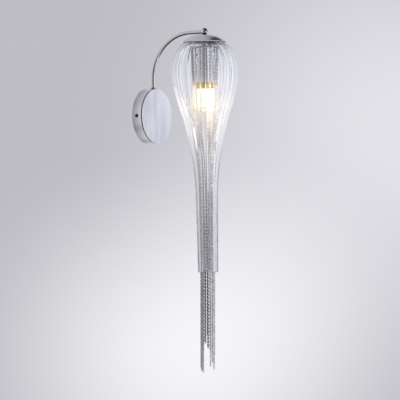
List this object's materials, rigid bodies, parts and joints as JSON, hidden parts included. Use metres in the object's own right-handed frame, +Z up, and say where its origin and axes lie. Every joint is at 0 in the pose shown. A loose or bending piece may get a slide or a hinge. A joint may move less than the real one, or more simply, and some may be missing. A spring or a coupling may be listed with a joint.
{
  "type": "wall sconce",
  "caption": "Wall sconce: round canopy, bent tube arm and a fluted teardrop glass with a long neck, through which a ring of thin chains hangs down around a tubular lamp.",
  "frame": {"origin": "centre of the round canopy's back, on the wall", "axes": "+Z up, +Y into the wall, so the sconce stands out towards -Y"},
  "size_m": [0.1434, 0.2223, 0.739],
  "materials": {
    "chrome": "polished",
    "steel": "zinc plated, satin",
    "chain_metal": "bright nickel plated",
    "brass": "turned",
    "shade_glass": "clear, fluted, fire-polished rim",
    "lamp_opal": "opal, lit",
    "silicone": "translucent white, matt",
    "white_plastic": "moulded",
    "black_plastic": "moulded",
    "brown_insulation": "wire insulation",
    "blue_insulation": "wire insulation",
    "green_insulation": "wire insulation"
  },
  "bodies": {
    "fixture": {"wall_bracket": "steel", "canopy_cover": "chrome", "canopy_screws": "chrome", "terminal_block": "white_plastic", "terminal_screws": "brass", "earth_screw": "brass", "arm_collar": "chrome", "arm_nut": "steel", "arm_tube": "chrome", "arm_ball": "chrome", "threaded_nipple": "steel", "shade_cap": "chrome", "nipple_nuts": "steel", "cap_gasket": "silicone", "glass_shade": "shade_glass", "support_bar": "steel", "support_pads": "silicone", "brass_nut": "brass", "chain_plate": "steel", "chain_rings": "steel", "socket_cover": "chrome", "lampholder": "black_plastic", "holder_contacts": "brass", "lamp_cap": "steel", "lamp_envelope": "lamp_opal", "live_wire": "brown_insulation", "neutral_wire": "blue_insulation", "earth_wire": "green_insulation", "chain_1": "chain_metal", "chain_2": "chain_metal", "chain_3": "chain_metal", "chain_4": "chain_metal", "chain_5": "chain_metal", "chain_6": "chain_metal", "chain_7": "chain_metal", "chain_8": "chain_metal", "chain_9": "chain_metal", "chain_10": "chain_metal", "chain_11": "chain_metal", "chain_12": "chain_metal", "chain_13": "chain_metal", "chain_14": "chain_metal", "chain_15": "chain_metal", "chain_16": "chain_metal"},
    "hanging_end_1": {"chain_end_1": "chain_metal"},
    "hanging_end_2": {"chain_end_2": "chain_metal"},
    "hanging_end_3": {"chain_end_3": "chain_metal"},
    "hanging_end_4": {"chain_end_4": "chain_metal"},
    "hanging_end_5": {"chain_end_5": "chain_metal"},
    "hanging_end_6": {"chain_end_6": "chain_metal"},
    "hanging_end_7": {"chain_end_7": "chain_metal"},
    "hanging_end_8": {"chain_end_8": "chain_metal"},
    "hanging_end_9": {"chain_end_9": "chain_metal"},
    "hanging_end_10": {"chain_end_10": "chain_metal"},
    "hanging_end_11": {"chain_end_11": "chain_metal"},
    "hanging_end_12": {"chain_end_12": "chain_metal"},
    "hanging_end_13": {"chain_end_13": "chain_metal"},
    "hanging_end_14": {"chain_end_14": "chain_metal"},
    "hanging_end_15": {"chain_end_15": "chain_metal"},
    "hanging_end_16": {"chain_end_16": "chain_metal"}
  },
  "joints": [
    {"name": "swing_1", "type": "hinge", "parent": "fixture", "child": "hanging_end_1", "pos_m": [0.01404, -0.14727, -0.3412], "axis": [0.1908, -0.9816, 0], "range_deg": [0, 60]},
    {"name": "swing_2", "type": "hinge", "parent": "fixture", "child": "hanging_end_2", "pos_m": [0.01192, -0.14211, -0.3412], "axis": [0.5519, -0.8339, 0], "range_deg": [0, 60]},
    {"name": "swing_3", "type": "hinge", "parent": "fixture", "child": "hanging_end_3", "pos_m": [0.008, -0.13814, -0.3412], "axis": [0.829, -0.5592, 0], "range_deg": [0, 60]},
    {"name": "swing_4", "type": "hinge", "parent": "fixture", "child": "hanging_end_4", "pos_m": [0.00285, -0.13599, -0.3412], "axis": [0.9799, -0.1994, 0], "range_deg": [0, 60]},
    {"name": "swing_5", "type": "hinge", "parent": "fixture", "child": "hanging_end_5", "pos_m": [-0.00273, -0.13596, -0.3412], "axis": [0.9816, 0.1908, 0], "range_deg": [0, 60]},
    {"name": "swing_6", "type": "hinge", "parent": "fixture", "child": "hanging_end_6", "pos_m": [-0.00789, -0.13808, -0.3412], "axis": [0.8339, 0.5519, 0], "range_deg": [0, 60]},
    {"name": "swing_7", "type": "hinge", "parent": "fixture", "child": "hanging_end_7", "pos_m": [-0.01186, -0.142, -0.3412], "axis": [0.5592, 0.829, 0], "range_deg": [0, 60]},
    {"name": "swing_8", "type": "hinge", "parent": "fixture", "child": "hanging_end_8", "pos_m": [-0.01401, -0.14715, -0.3412], "axis": [0.1994, 0.9799, 0], "range_deg": [0, 60]},
    {"name": "swing_9", "type": "hinge", "parent": "fixture", "child": "hanging_end_9", "pos_m": [-0.01404, -0.15273, -0.3412], "axis": [-0.1908, 0.9816, 0], "range_deg": [0, 60]},
    {"name": "swing_10", "type": "hinge", "parent": "fixture", "child": "hanging_end_10", "pos_m": [-0.01192, -0.15789, -0.3412], "axis": [-0.5519, 0.8339, 0], "range_deg": [0, 60]},
    {"name": "swing_11", "type": "hinge", "parent": "fixture", "child": "hanging_end_11", "pos_m": [-0.008, -0.16186, -0.3412], "axis": [-0.829, 0.5592, 0], "range_deg": [0, 60]},
    {"name": "swing_12", "type": "hinge", "parent": "fixture", "child": "hanging_end_12", "pos_m": [-0.00285, -0.16401, -0.3412], "axis": [-0.9799, 0.1994, 0], "range_deg": [0, 60]},
    {"name": "swing_13", "type": "hinge", "parent": "fixture", "child": "hanging_end_13", "pos_m": [0.00273, -0.16404, -0.3412], "axis": [-0.9816, -0.1908, 0], "range_deg": [0, 60]},
    {"name": "swing_14", "type": "hinge", "parent": "fixture", "child": "hanging_end_14", "pos_m": [0.00789, -0.16192, -0.3412], "axis": [-0.8339, -0.5519, 0], "range_deg": [0, 60]},
    {"name": "swing_15", "type": "hinge", "parent": "fixture", "child": "hanging_end_15", "pos_m": [0.01186, -0.158, -0.3412], "axis": [-0.5592, -0.829, 0], "range_deg": [0, 60]},
    {"name": "swing_16", "type": "hinge", "parent": "fixture", "child": "hanging_end_16", "pos_m": [0.01401, -0.15285, -0.3412], "axis": [-0.1994, -0.9799, 0], "range_deg": [0, 60]}
  ]
}
